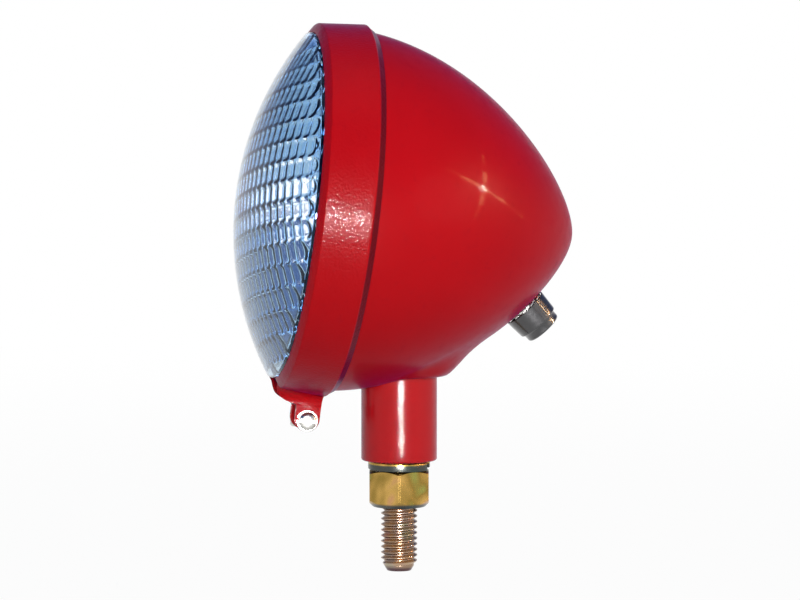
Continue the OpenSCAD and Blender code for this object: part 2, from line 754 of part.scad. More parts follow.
at_seat() shell();
at_seat() mount_post();
at_seat() mount_bolt();
at_seat() saddle_washer();
at_seat() gland_body();
at_seat() gland_washer();
at_seat() gland_nut();
at_seat() lock_washer();
at_seat() mount_nut();
at_seat() clamp_rim();
at_seat() clamp_screw();
at_seat() clamp_washer();
at_seat() clamp_nut();
at_seat() lens();
at_seat() lens_gasket();
at_seat() reflector();
at_seat() bulb_holder();
at_seat() bulb_base();
at_seat() bulb_capsule();
at_seat() bulb_filament();
at_seat() bulb_lead();
at_seat() bulb_terminal();
at_seat() bulb_clip();
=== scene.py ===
from math import asin, atan2, ceil, cos, floor, hypot, pi, radians, sin, sqrt, tan

import bmesh
import bpy
from mathutils import Matrix, Vector


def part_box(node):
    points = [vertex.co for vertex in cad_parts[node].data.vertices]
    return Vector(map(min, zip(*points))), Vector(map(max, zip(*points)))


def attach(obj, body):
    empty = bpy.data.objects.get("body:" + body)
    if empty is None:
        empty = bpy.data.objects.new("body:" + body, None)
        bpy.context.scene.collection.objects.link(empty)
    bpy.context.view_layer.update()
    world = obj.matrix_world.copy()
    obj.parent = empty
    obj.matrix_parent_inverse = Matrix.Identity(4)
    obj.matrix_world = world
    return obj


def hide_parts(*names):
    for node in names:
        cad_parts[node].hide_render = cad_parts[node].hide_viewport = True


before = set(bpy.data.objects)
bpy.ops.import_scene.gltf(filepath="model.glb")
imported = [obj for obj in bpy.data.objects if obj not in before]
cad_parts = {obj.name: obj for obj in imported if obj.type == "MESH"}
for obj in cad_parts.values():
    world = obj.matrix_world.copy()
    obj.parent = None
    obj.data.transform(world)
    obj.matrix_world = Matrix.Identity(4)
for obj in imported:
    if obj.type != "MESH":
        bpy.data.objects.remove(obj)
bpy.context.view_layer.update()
scene = bpy.context.scene

# Sizes that the CAD model uses too, in millimetres. Places along the lamp's axis run from the front,
# where they are negative, to the tail. Heights on the stud start at the post's lower end, the seat.
AIM = radians(6.8)
SEAT, AXIS = 25.55, 84.6                # the seat over the origin, the lamp's axis over the seat
SHELL_R, SHOULDER, TAIL = 62.5, -19.0, 61.6
SPIGOT_R, MOUTH_AT = 61.4, -32.0        # the shell's front, which goes into the rim
SHEET = 1.2
RIM_REAR, RIM_REAR_R = -20.2, 64.7
CURL_AT, RIM_FRONT_R = -35.6, 63.3      # where the rim's side turns in to its lip
LENS_BACK, GASKET = -34.5, 1.5
DOME_CENTRE, DOME_R, GLASS = 51.9712, 108.7, 3.5
CLEAR_R, FLANGE_R = 57.5, 61.5          # the inside and the outside of the lens' flange
BOWL_R, APEX, FOCUS = 57.0, 7.6125, 20.0
FILAMENT, BULB_SEAT, BULB_BACK, CLIP_AT = -12.3875, 5.6125, 7.2125, 8.3125
HUB = 4.5                               # how far the bulb's hub stands behind its flange
SCREW_DROP, SCREW_AT = 73.1818, -24.8   # the clamp screw under the axis, and along it
EAR_X = 5.5                             # the middle of the ear's sheet from the middle plane
BEND_R, BEND_X, BEND_Y, BEND_START = 4.6, 10.1, 67.53, radians(8.506)
GLAND_DROP, GLAND_AT, GLAND_TILT, GLAND_SINK = 26.0643, 47.6, radians(40.5377), 0.4
GLAND_NECK = 5.9
STUD_R, PITCH = 6.35, 1.954
RECESS = 0.4                            # how deep the lock washer is let into the post
NUT_BOTTOM, NUT_H, NUT_ACROSS = -16.1, 12.7, 20.6
SADDLE_TOP = 34.7012                    # where the bolt's head sits


def along(z):
    """A shift along the Z axis of a piece."""
    return Matrix.Translation((0, 0, z))


MM = Matrix.Scale(0.001, 4)
SEAT_PLACE = MM @ along(SEAT)
LAMP_PLACE = SEAT_PLACE @ along(AXIS) @ Matrix.Rotation(-(pi / 2 + AIM), 4, "X")
GLAND_PLACE = (LAMP_PLACE @ Matrix.Translation((0, GLAND_DROP, GLAND_AT))
               @ Matrix.Rotation(-GLAND_TILT, 4, "X") @ along(-GLAND_SINK))
SCREW_PLACE = (LAMP_PLACE @ Matrix.Translation((0, SCREW_DROP, SCREW_AT))
               @ Matrix.Rotation(pi / 2, 4, "Y"))


# ---------------- shaping helpers

def arc(cx, cz, r, start, end, steps):
    """Points of an arc in the profile plane, angles in degrees."""
    return [(cx + r * cos(radians(start + (end - start) * i / steps)),
             cz + r * sin(radians(start + (end - start) * i / steps))) for i in range(steps + 1)]


def draw_profile(bm, points, closed=False):
    """The vertices and edges of a profile of (radius, height)."""
    verts = [bm.verts.new((r, 0, z)) for r, z in points]
    edges = [bm.edges.new(pair) for pair in zip(verts, verts[1:])]
    if closed:
        edges.append(bm.edges.new((verts[-1], verts[0])))
    return verts + edges


def turned(points, steps, closed=False, angle=2 * pi, start=0.0):
    """A piece turned on the Z axis from a profile of (radius, height)."""
    bm = bmesh.new()
    geom = draw_profile(bm, points, closed)
    if start:
        turn_by(bm, start)
    full = abs(angle - 2 * pi) < 1e-6
    bmesh.ops.spin(bm, geom=geom, cent=(0, 0, 0), axis=(0, 0, 1), dvec=(0, 0, 0),
                   angle=angle, steps=steps, use_merge=full)
    if not full:
        cap_ends(bm)
    return bm


def wound(points, pitch, turns, steps, start):
    """A profile wound into a helix that rises by pitch in each turn."""
    bm = bmesh.new()
    geom = draw_profile(bm, points)
    turn_by(bm, start)
    bmesh.ops.spin(bm, geom=geom, cent=(0, 0, 0), axis=(0, 0, 1), dvec=(0, 0, pitch / steps),
                   angle=2 * pi * turns, steps=int(steps * turns))
    return bm


def join(target, source, place=None):
    """Adds one mesh in the making to another."""
    if place is not None:
        bmesh.ops.transform(source, matrix=place, verts=source.verts)
    keep = bpy.data.meshes.new("part")
    source.to_mesh(keep)
    source.free()
    target.from_mesh(keep)
    bpy.data.meshes.remove(keep)


def turn_by(bm, angle, axis="Z"):
    bmesh.ops.rotate(bm, verts=bm.verts, cent=(0, 0, 0), matrix=Matrix.Rotation(angle, 3, axis))


def cap_ends(bm):
    bmesh.ops.holes_fill(bm, edges=[e for e in bm.edges if e.is_boundary], sides=0)


def face_out(bm):
    bmesh.ops.recalc_face_normals(bm, faces=bm.faces)


def close_up(bm, merge=1e-5):
    """Welds the points that meet, such as those on the axis, and turns every face outward."""
    bmesh.ops.remove_doubles(bm, verts=bm.verts, dist=merge)
    face_out(bm)


def round_edges(bm, width, over, pick=None):
    """Bevels every edge that is sharper than an angle in degrees."""
    edges = [e for e in bm.edges if len(e.link_faces) == 2
             and e.calc_face_angle(0) > radians(over) and (pick is None or pick(e))]
    bmesh.ops.bevel(bm, geom=edges, offset=width, offset_type="OFFSET", segments=2,
                    profile=0.5, affect="EDGES", material=-1, clamp_overlap=True)


def finish_piece(bm, name, body, material, replaces, place=None, smooth=32.0):
    """Makes the object of a piece, in place, hangs it on its body's empty and hides the CAD nodes
    that it replaces. Its edges look sharp from an angle of smooth degrees."""
    if place is not None:
        bmesh.ops.transform(bm, matrix=place, verts=bm.verts)
    for face in bm.faces:
        face.smooth = True
    for edge in bm.edges:
        edge.smooth = not (len(edge.link_faces) == 2 and edge.calc_face_angle(0) > radians(smooth))
    mesh = bpy.data.meshes.new(name)
    bm.to_mesh(mesh)
    bm.free()
    mesh.materials.append(material)
    obj = bpy.data.objects.new(name, mesh)
    scene.collection.objects.link(obj)
    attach(obj, body)
    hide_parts(*replaces)


# ---------------- material helpers

class Nodes:
    """The node tree of a material or a world, built with short calls."""

    def __init__(self, owner):
        owner.use_nodes = True
        self.owner, self.tree = owner, owner.node_tree
        self.tree.nodes.clear()

    def node(self, kind, **values):
        n = self.tree.nodes.new(kind)
        for key, value in values.items():
            setattr(n, key, value)
        return n

    def link(self, source, target):
        self.tree.links.new(source, target)

    def feed(self, socket, value):
        """Writes a number or a colour on the socket, and links anything else to it."""
        if isinstance(value, (int, float)):
            socket.default_value = value
        elif isinstance(value, tuple):
            socket.default_value = (*value, 1)
        else:
            self.link(value, socket)

    def span(self, value, low, high, to_low=0.0, to_high=1.0, soft=False):
        """Brings a value from one range to another, and holds it there beyond the ends."""
        n = self.node("ShaderNodeMapRange", interpolation_type="SMOOTHSTEP" if soft else "LINEAR")
        for socket, number in (("From Min", low), ("From Max", high), ("To Min", to_low),
                               ("To Max", to_high)):
            n.inputs[socket].default_value = number
        self.link(value, n.inputs["Value"])
        return n.outputs[0]

    def maths(self, kind, a, b):
        n = self.node("ShaderNodeMath", operation=kind)
        self.feed(n.inputs[0], a)
        self.feed(n.inputs[1], b)
        return n.outputs[0]

    def vector(self, kind, a, b=None):
        n = self.node("ShaderNodeVectorMath", operation=kind)
        self.link(a, n.inputs[0])
        if b is not None:
            n.inputs[1].default_value = b
        return n.outputs

    def mix(self, factor, a, b):
        n = self.node("ShaderNodeMix", data_type="RGBA")
        for name, value in (("Factor", factor), ("A", a), ("B", b)):
            self.feed(n.inputs[name], value)
        return n.outputs["Result"]


class Finish(Nodes):
    """A material with one shader, whose patterns follow the Object coordinates."""

    def __init__(self, name):
        super().__init__(bpy.data.materials.new(name))
        self.out = self.node("ShaderNodeOutputMaterial")
        self.shader = self.node("ShaderNodeBsdfPrincipled")
        self.link(self.shader.outputs[0], self.out.inputs["Surface"])
        self.place = self.node("ShaderNodeTexCoord").outputs["Object"]

    def set(self, **values):
        for key, value in values.items():
            self.shader.inputs[key.replace("_", " ")].default_value = value

    def noise(self, scale, detail=3.0, rough=0.5, distort=0.0):
        n = self.node("ShaderNodeTexNoise")
        for socket, number in (("Scale", scale), ("Detail", detail), ("Roughness", rough),
                               ("Distortion", distort)):
            n.inputs[socket].default_value = number
        self.link(self.place, n.inputs["Vector"])
        return n.outputs["Fac"]

    def spots(self, scale):
        n = self.node("ShaderNodeTexVoronoi")
        n.inputs["Scale"].default_value = scale
        self.link(self.place, n.inputs["Vector"])
        return n.outputs["Distance"]

    def ramp(self, value, stops):
        n = self.node("ShaderNodeValToRGB")
        band = n.color_ramp
        while len(band.elements) < len(stops):
            band.elements.new(0.5)
        for element, (at, tint) in zip(band.elements, stops):
            element.position = at
            element.color = (*tint, 1)
        self.link(value, n.inputs["Fac"])
        return n.outputs["Color"]

    def bump(self, height, depth, strength, coat=False):
        n = self.node("ShaderNodeBump")
        n.inputs["Strength"].default_value = strength
        n.inputs["Distance"].default_value = depth
        self.link(height, n.inputs["Height"])
        for socket in ("Normal", "Coat Normal") if coat else ("Normal",):
            self.link(n.outputs[0], self.shader.inputs[socket])


def colour(r, g, b):
    """A display colour from 0 to 255, as the linear colour that a shader takes."""
    return tuple(c / 255 / 12.92 if c <= 10 else ((c / 255 + 0.055) / 1.055) ** 2.4
                 for c in (r, g, b))


def red_paint(name, peel, peel_scale, haze, coat, slow=1.4, groove_shade=None):
    """Old red enamel. Peel is the depth of its orange peel and slow the share of long waves in it,
    haze and coat are the gloss of the paint and of its skin, and the last argument gives where
    a painted shade starts and ends along the lamp's axis, in the groove where the rim meets the
    shell."""
    f = Finish(name)
    drift = f.noise(22, 3, 0.5)
    fine = f.noise(260, 3, 0.6)
    base = f.ramp(drift, [(0.3, colour(196, 12, 20)), (0.7, colour(206, 16, 24))])
    dust = f.span(fine, 0.58, 0.8, 0.0, 0.2)
    base = f.mix(dust, base, colour(160, 8, 28))
    chips = f.spots(95)
    grime = f.noise(60, 4, 0.6)
    worn = f.maths("MULTIPLY", f.span(chips, 0.035, 0.02), f.span(grime, 0.6, 0.66))
    base = f.mix(worn, base, colour(92, 52, 58))
    if groove_shade:
        # painted shade where the rim meets the shell, darkening the groove between them; the axis is
        # of unit length, in metres
        axis = LAMP_PLACE.to_3x3() @ Vector((0, 0, 1000))
        start = axis.dot(LAMP_PLACE.translation)
        at = f.vector("DOT_PRODUCT", f.place, axis)["Value"]
        dark = f.span(at, start + groove_shade[0] / 1000, start + groove_shade[1] / 1000, 0.85, 0.0)
        base = f.mix(dark, base, colour(96, 8, 16))
    f.link(base, f.shader.inputs["Base Color"])
    f.link(f.span(fine, 0.3, 0.7, 0.3, 0.42), f.shader.inputs["Roughness"])
    f.set(Specular_IOR_Level=haze, Coat_Weight=coat, Coat_Roughness=0.07, Coat_IOR=1.45,
          Sheen_Weight=0.08, Sheen_Roughness=0.4, Sheen_Tint=(0.16, 0.04, 1.0, 1))
    ripple = f.noise(peel_scale, 2, 0.45)
    wave = f.noise(peel_scale * 0.22, 2, 0.5)
    height = f.maths("ADD", ripple, f.maths("MULTIPLY", wave, slow))
    f.bump(height, 0.00016, peel, coat=True)
    return f.owner


def chromate(name, gold=(172, 142, 60), deep=0.0, scale=70, pale=0.0, low_edge_shade=None):
    """Yellow chromate over zinc, with a faint pink and green bloom. Deep is the radius within which
    a painted shade darkens a thread's root, and the last argument gives the heights between which a
    painted blue-green shade on the low edge fades."""
    f = Finish(name)
    cloud = f.noise(scale, 2, 0.5, 0.4)
    grain = f.noise(2400, 2, 0.6)
    tint = f.ramp(cloud, [(0.3, colour(146, 160, 84)), (0.42, colour(*gold)),
                          (0.56, colour(196, 158, 86)), (0.7, colour(190, 132, 116))])
    tint = f.mix(f.span(grain, 0.55, 0.75, 0.0, 0.3), tint, colour(96, 82, 44))
    if pale:
        tint = f.mix(pale, tint, colour(166, 150, 148))
    if low_edge_shade:
        # painted shade: the low edge is darkened blue-green
        axes = f.node("ShaderNodeSeparateXYZ")
        f.link(f.place, axes.inputs[0])
        tint = f.mix(f.span(axes.outputs["Z"], *low_edge_shade, 0.88, 0.0), tint, colour(34, 60, 74))
    # painted shade: within the radius deep, the thread's root is darkened
    if deep:
        flat = f.vector("MULTIPLY", f.place, (1, 1, 0))[0]
        far = f.vector("LENGTH", flat)["Value"]
        root_shade = f.span(far, deep - 0.0011, deep - 0.0004, 0.85, 0.0)
        tint = f.mix(root_shade, tint, colour(66, 40, 58))
    f.link(tint, f.shader.inputs["Base Color"])
    f.link(f.span(grain, 0.3, 0.7, 0.2, 0.34), f.shader.inputs["Roughness"])
    f.set(Metallic=1.0)
    f.bump(grain, 0.00003, 0.35)
    return f.owner


def plain_metal(name, tint, rough=(0.2, 0.36), grain_scale=1400):
    """Bare or plated metal with a fine grain and darker clouds."""
    f = Finish(name)
    grain = f.noise(grain_scale, 3, 0.6)
    drift = f.noise(120, 2, 0.5)
    dark = tuple(c * 0.72 for c in tint)
    base = f.mix(f.span(drift, 0.35, 0.7, 0.0, 0.48), colour(*tint), colour(*dark))
    f.link(base, f.shader.inputs["Base Color"])
    f.link(f.span(grain, 0.3, 0.7, *rough), f.shader.inputs["Roughness"])
    f.set(Metallic=1.0)
    f.bump(grain, 0.00003, 0.3)
    return f.owner


def moulded(name, tint, rough, depth=0.00004, scale=700, coat=0.0):
    """Moulded plastic or rubber with a fine grain."""
    f = Finish(name)
    grain = f.noise(scale, 3, 0.55)
    drift = f.noise(90, 2, 0.5)
    lighter = tuple(min(255, c * 1.35 + 6) for c in tint)
    f.link(f.mix(f.span(drift, 0.3, 0.7, 0.0, 0.6), colour(*tint), colour(*lighter)),
           f.shader.inputs["Base Color"])
    f.link(f.span(grain, 0.3, 0.7, *rough), f.shader.inputs["Roughness"])
    f.set(Coat_Weight=coat, Coat_Roughness=0.08)
    f.bump(grain, depth, 0.4)
    return f.owner


def clear_glass(name, tint, ior=1.5, film=0.0, depth=None, sheen=(1, 1, 1)):
    """Clear glass. Film is how much an old film roughens it, depth the colour and the density
    that its body takes from the light, and sheen the colour of its reflections."""
    f = Finish(name)
    if depth:
        inside = f.node("ShaderNodeVolumeAbsorption")
        inside.inputs["Color"].default_value = (*depth[0], 1)
        inside.inputs["Density"].default_value = depth[1]
        f.link(inside.outputs[0], f.out.inputs["Volume"])
    drift = f.noise(70, 2, 0.5)
    base = f.mix(f.span(drift, 0.3, 0.7), tint, tuple(c * 0.94 for c in tint))
    f.link(base, f.shader.inputs["Base Color"])
    grime = f.noise(420, 4, 0.6)
    f.link(f.span(grime, 0.45, 0.75, 0.0, film), f.shader.inputs["Roughness"])
    f.set(Transmission_Weight=1.0, IOR=ior, Specular_Tint=(*sheen, 1))
    f.bump(f.noise(160, 2, 0.5), 0.00004, 0.25)
    return f.owner


def mirror_finish(name):
    """Silvering, a little uneven."""
    f = Finish(name)
    drift = f.noise(46, 3, 0.5)
    base = f.ramp(drift, [(0.35, colour(196, 214, 236)), (0.65, colour(222, 228, 238))])
    f.link(base, f.shader.inputs["Base Color"])
    f.link(f.span(f.noise(900, 3, 0.6), 0.4, 0.7, 0.04, 0.12), f.shader.inputs["Roughness"])
    f.set(Metallic=1.0)
    f.bump(f.noise(220, 2, 0.5), 0.00005, 0.3)
    return f.owner


paint_shell = red_paint("red_enamel_shell", peel=0.08, peel_scale=700, haze=0.03, coat=0.09,
                        groove_shade=(-18.6, -17.2))
paint_rim = red_paint("red_enamel_rim", peel=0.85, peel_scale=1250, haze=0.03, coat=0.09,
                      slow=0.7, groove_shade=(-19.5, -19.9))
paint_post = red_paint("red_enamel_post", peel=0.32, peel_scale=2400, haze=0.04, coat=0.4, slow=0.8)
yellow_zinc = chromate("yellow_chromate", gold=(144, 118, 56),
                       low_edge_shade=((SEAT + NUT_BOTTOM + 0.9) / 1000, (SEAT + NUT_BOTTOM + 1.7) / 1000))
washer_zinc = chromate("yellow_chromate_washer",
                       low_edge_shade=((SEAT - 1.3) / 1000, (SEAT - 0.9) / 1000))
thread_zinc = chromate("yellow_chromate_thread", gold=(180, 156, 130), deep=0.0058, scale=90,
                       pale=0.5)
bright_zinc = plain_metal("bright_zinc", (206, 206, 200))
spring_steel = plain_metal("spring_steel", (150, 152, 156), rough=(0.24, 0.4))
black_plastic = moulded("black_plastic", (16, 16, 18), rough=(0.3, 0.42), depth=0.00012,
                        coat=1.0)
terminal_plastic = moulded("terminal_plastic", (206, 202, 186), rough=(0.35, 0.5))
rubber = moulded("gasket_rubber", (20, 20, 22), rough=(0.55, 0.75), depth=0.00008, scale=900)
lead_cover = moulded("lead_cover", (18, 18, 20), rough=(0.4, 0.55))
lens_glass = clear_glass("lens_glass", (0.74, 0.9, 1.0), film=0.05, depth=((0.2, 0.55, 0.8), 40.0),
                         sheen=(0.4, 0.6, 0.95))
bulb_glass = clear_glass("bulb_glass", (0.97, 0.98, 1.0), ior=1.46)
mirror = mirror_finish("reflector_silver")
tungsten = plain_metal("tungsten", (120, 118, 122), rough=(0.4, 0.55), grain_scale=6000)


# ---------------- shell

def shell_line(t, depth=0.0):
    """Point of the shell's side and tail, at a depth inside its outer face."""
    handle, full, tail = radians(5.3), 47.4, 14.5
    p = [Vector((SHELL_R, SHOULDER)),
         Vector((SHELL_R - full * sin(handle), SHOULDER + full * cos(handle))),
         Vector((tail, TAIL)), Vector((0, TAIL))]
    at = ((1 - t) ** 3 * p[0] + 3 * (1 - t) ** 2 * t * p[1]
          + 3 * (1 - t) * t * t * p[2] + t ** 3 * p[3])
    way = (3 * (1 - t) ** 2 * (p[1] - p[0]) + 6 * (1 - t) * t * (p[2] - p[1])
           + 3 * t * t * (p[3] - p[2]))
    inward = Vector((-way.y, way.x)).normalized()
    at = at + depth * inward
    return max(0.0, at.x), at.y


def joggle_line(depth):
    """The step at the shoulder that lets the rim go over the shell, as a soft S."""
    points = []
    for i in range(9):
        t = i / 8
        rise = t * t * (3 - 2 * t)
        points.append((SPIGOT_R + (SHELL_R - SPIGOT_R) * rise - depth,
                       RIM_REAR + (SHOULDER - RIM_REAR) * t))
    return points


def build_shell():
    bead_r, bead_fall = 62.08, 0.25
    outer = [(bead_r, MOUTH_AT), (bead_r, MOUTH_AT + SHEET), (SPIGOT_R, MOUTH_AT + SHEET + bead_fall)]
    outer += joggle_line(0.0) + [shell_line(i / 72) for i in range(1, 73)]
    inner = [shell_line(i / 40, SHEET) for i in range(40, 0, -1)]
    inner += list(reversed(joggle_line(SHEET))) + [(SPIGOT_R - SHEET, MOUTH_AT)]
    bm = turned(outer + inner, steps=256, closed=True)
    close_up(bm, 2e-3)
    bmesh.ops.transform(bm, matrix=MM.inverted() @ LAMP_PLACE, verts=bm.verts)
    # the boss that meets the post: its flat, its flank and a soft hollow between flank and shell
    top, flat_r, lean = SEAT + AXIS - 55.2, 17.0, tan(radians(43))
    below, within, soft, blend = 92, 40, 1.1, 2.6
    for v in bm.verts:
        x, y, z = v.co
        far = hypot(x, y)
        if z > below or far > within or v.normal.z > -0.2:
            continue
        rise = (far - flat_r) / lean
        boss = top + (rise + sqrt(rise * rise + soft)) / 2 + 0.02
        gap = boss - z
        if gap < blend:
            h = min(1.0, max(0.0, 0.5 - 0.5 * gap / blend))
            v.co.z = z * (1 - h) + boss * h - blend * h * (1 - h) * 0.5
    bm.normal_update()
    finish_piece(bm, "shell_pressing", "housing", paint_shell, ["shell"], MM, smooth=50)


build_shell()


# ---------------- post

def build_post():
    r, edge, bore, top = 13.2, 0.8, 6.75, 29.4
    recess_r = 11.2
    points = [(recess_r, RECESS), (recess_r, 0.05), (recess_r + 0.15, 0.0)]
    points += arc(r - edge, edge, edge, -90, 0, 6) + [(r, 4 + 2.2 * i) for i in range(11)]
    points += [(r, top), (bore, top), (bore, RECESS)]
    bm = turned(points, steps=128, closed=True)
    close_up(bm)
    finish_piece(bm, "post_tube", "housing", paint_post, ["mount_post"], SEAT_PLACE)


build_post()


# ---------------- rim and ears

def rim_outer(at):
    """Radius of the band's outer face at a place along the axis."""
    return RIM_FRONT_R + (at - CURL_AT) * (RIM_REAR_R - RIM_FRONT_R) / (RIM_REAR - CURL_AT)


def rim_profile():
    wall, hem, hem_at, fold = 1.1, 0.45, -20.3, 0.7
    top, front = rim_outer(hem_at), rim_outer(CURL_AT)
    # the hem: a tight edge, then a face that slopes in to the shell
    points = [(62.62, -17.75), (62.8, -17.68), (63.0, -17.78), (top - 0.35, hem_at + 0.42)]
    points += [(top - hem + hem * sin(radians(a)), hem_at + hem * cos(radians(a)))
               for a in range(50, 91, 10)]
    points += [(rim_outer(at), at) for at in (-22, -24, -28, -32, -35.0)]
    # the lip: a tight fold, then a flat face that slopes in to the glass
    points += [(front - fold + fold * cos(radians(a)), CURL_AT - fold * sin(radians(a)))
               for a in range(0, 60, 9)]
    points += [(61.6, -37.12), (60.25, -37.86), (60.06, -37.88), (59.98, -37.7), (59.98, -36.9),
               (60.1, -36.6), (61.3, -35.8)]
    # the inside, back to the hem
    points += [(rim_outer(at) - wall, at) for at in (-34.6, -28, -22)]
    points += [(63.2, -20.6), (63.0, -19.8), (62.62, -18.9), (62.58, -18.1)]
    return points


def ear_sheet():
    """The tongue of sheet that leaves the band, bends out and carries the clamp screw."""
    bend_steps, leg_steps, tip_steps, across, wall = 14, 8, 12, 22, 1.12
    path, first = [], atan2(-BEND_Y, -BEND_X)
    sweep = pi / 2 - BEND_START
    for i in range(bend_steps + 1):
        a = first - sweep * i / bend_steps
        path.append((BEND_X + BEND_R * cos(a), BEND_Y + BEND_R * sin(a)))
    reach, half = 3.8, 4.35
    tip, curl = SCREW_DROP + reach - half, CURL_AT - 0.9
    for i in range(1, leg_steps + 1):
        path.append((EAR_X, BEND_Y + (tip - BEND_Y) * i / leg_steps))
    for i in range(1, tip_steps + 1):
        path.append((EAR_X, tip + half * sin(radians(90 * i / tip_steps))))
    root, front_turn, rear_flare = 62.9, 4.75, 7.2
    lip_at, lip_slope = -34.9, 0.9
    bm = bmesh.new()
    bmesh.ops.create_grid(bm, x_segments=len(path) - 1, y_segments=across, size=0.5)
    for v in bm.verts:
        i = round((v.co.x + 0.5) * (len(path) - 1))
        s = v.co.y + 0.5
        x, y = path[i]
        # the front edge keeps the curl's reach far into the bend, then turns in to the ear
        t = min(1.0, max(0.0, (y - root) / front_turn))
        front = SCREW_AT - half + (curl - SCREW_AT + half) * sqrt(1 - t * t)
        t = min(1.0, max(0.0, (y - root) / rear_flare))
        rear = (RIM_REAR - 0.1) * (1 - t) + (SCREW_AT + half) * t
        if y > tip:
            w = max(0.25, sqrt(max(0.0, half * half - (y - tip) ** 2)))
            front, rear = SCREW_AT - w, SCREW_AT + w
        at = front + (rear - front) * s
        if i <= bend_steps:
            # the bend follows the band's cone
            a = first - sweep * i / bend_steps
            inset = max(0.0, lip_at - at) * lip_slope
            r = BEND_R - (rim_outer(max(at, CURL_AT)) - inset - rim_outer(SCREW_AT))
            x, y = BEND_X + r * cos(a), BEND_Y + r * sin(a)
        v.co = (x, y, at)
    face_out(bm)
    bm.faces.ensure_lookup_table()
    sign = 1 if bm.faces[len(bm.faces) // 2].normal.x > 0 else -1
    bm.normal_update()
    for v in bm.verts:
        v.co = v.co + v.normal * (sign * wall / 2)
    bmesh.ops.solidify(bm, geom=bm.faces[:] + bm.edges[:] + bm.verts[:], thickness=sign * wall)
    face_out(bm)
    round_edges(bm, 0.22, 60)
    return bm


def build_rim():
    gap = BEND_START - radians(0.25)
    bm = turned(rim_profile(), steps=240, closed=True, angle=2 * pi - 2 * gap, start=pi / 2 + gap)
    close_up(bm)
    # the band's two cut ends
    round_edges(bm, 0.18, 70, pick=lambda e: any(abs(abs(atan2(v.co.x, v.co.y)) - gap) < 0.004
                                                 for v in e.verts))
    for side in (1, -1):
        ear = ear_sheet()
        if side < 0:
            bmesh.ops.scale(ear, vec=(-1, 1, 1), verts=ear.verts)
            bmesh.ops.reverse_faces(ear, faces=ear.faces)
        join(bm, ear)
    finish_piece(bm, "rim_band", "front", paint_rim, ["clamp_rim"], LAMP_PLACE, smooth=42)


build_rim()


# ---------------- stud, nut and washers

def rolled_thread(r, pitch, low, high, steps, tip, start=0.0):
    """A thread with flat roots and slightly rounded crests, cut off at both ends. Tip is the
    height and the end radius of the cone at its low end."""
    root = r - 0.613 * pitch
    # how deep and how high each point of the ridge lies, in pitches
    crest = ((0.07, 0.455), (0.015, 0.49), (0, 0.525), (0, 0.6), (0.015, 0.635), (0.07, 0.67))
    ridge = [(root, 0), (root, pitch / 8)]
    ridge += [(r - pitch * deep, pitch * up) for deep, up in crest] + [(root, pitch)]
    turns = ceil((high - low) / pitch) + 2
    bm = wound([(x, low - pitch * 1.5 + z) for x, z in ridge], pitch, turns, steps, start)
    bmesh.ops.remove_doubles(bm, verts=bm.verts, dist=1e-4)
    for at, way in ((low, -1), (high, 1)):
        geom = bm.verts[:] + bm.edges[:] + bm.faces[:]
        bmesh.ops.bisect_plane(bm, geom=geom, dist=1e-5, plane_co=(0, 0, at), plane_no=(0, 0, way),
                               clear_outer=True)
        loop = [e for e in bm.edges
                if e.is_boundary and all(abs(v.co.z - at) < 1e-3 for v in e.verts)]
        bmesh.ops.holes_fill(bm, edges=loop, sides=0)
    height, end_r = tip
    for v in bm.verts:
        up = v.co.z - low
        if up < height:
            limit = end_r + (r - end_r) * up / height
            now = hypot(v.co.x, v.co.y)
            if now > limit:
                v.co.x *= limit / now
                v.co.y *= limit / now
    face_out(bm)
    return bm


def sided(sides, across, height, bore, low_face, high_face, low_lean=0.577, high_lean=0.577,
          per_side=18):
    """A nut or bolt head: flats, chamfers turned at both ends, and a bore. Its rings are turned
    first, at radii that number them, and then each is moved to its place."""
    reach, corner, lip, ease, spread = across / 2 / cos(pi / sides), 0.45, 0.25, 0.12, 1.7
    rings = []
    if bore:
        rings += [("round", bore + lip, 0.0)]
    rings += [("round", low_face, 0.0)] if low_face else []
    rings += [("flat", 0, -1), ("flat", 0, -0.9), ("flat", 0, 0.9), ("flat", 0, 1)]
    rings += [("round", high_face, height)]
    if bore:
        rings += [("round", bore + lip, height), ("round", bore, height - lip), ("round", bore, lip)]
    else:
        rings = [("round", 0.0, 0.0)] + rings + [("round", 0.0, height)]
    profile = [(1.0 + i * 0.1, i * 0.1) for i in range(len(rings))]
    bm = turned(profile, steps=sides * per_side, closed=bool(bore))
    step = 2 * pi / sides
    for v in bm.verts:
        i = round((hypot(v.co.x, v.co.y) - 1.0) / 0.1)
        a = atan2(v.co.y, v.co.x) % (2 * pi)
        n = round(a / step)
        off = (a - n * step) / (step / 2)
        # more of the columns stand near the corners
        off = (1 if off >= 0 else -1) * abs(off) ** spread
        a = n * step + off * step / 2
        kind, r, z = rings[i]
        if kind == "flat":
            side = (a % step) - step / 2
            flat_r = across / 2 / cos(side)
            # the corners are rounded
            near = reach - flat_r
            r = flat_r - max(0.0, corner * 0.8 - near) ** 2 / (corner * 0.7) * 0.9
            low = max(0.0, (r - low_face) * low_lean) if low_face else 0.0
            top = height - max(0.0, (r - high_face) * high_lean)
            z = {-1: low, -0.9: low + ease, 0.9: top - ease, 1: top}[z]
        v.co = (r * cos(a), r * sin(a), z)
    bmesh.ops.remove_doubles(bm, verts=bm.verts, dist=1e-4)
    face_out(bm)
    return bm


def split_ring(inner, outer, height, rise, gap, steps=96, corner=0.25, start=0.0):
    """A spring washer: a square section wound through most of one turn, its ends cut square."""
    section = []
    low, near, far = corner - height, inner + corner, outer - corner
    for cx, cz, a in ((near, low, 180), (far, low, 270), (far, -corner, 0), (near, -corner, 90)):
        section += arc(cx, cz, corner, a, a + 90, 3)
    bm = bmesh.new()
    geom = draw_profile(bm, section, closed=True)
    turn_by(bm, start)
    bmesh.ops.spin(bm, geom=geom, cent=(0, 0, 0), axis=(0, 0, 1), dvec=(0, 0, -rise / steps),
                   angle=2 * pi - gap, steps=steps)
    cap_ends(bm)
    face_out(bm)
    return bm


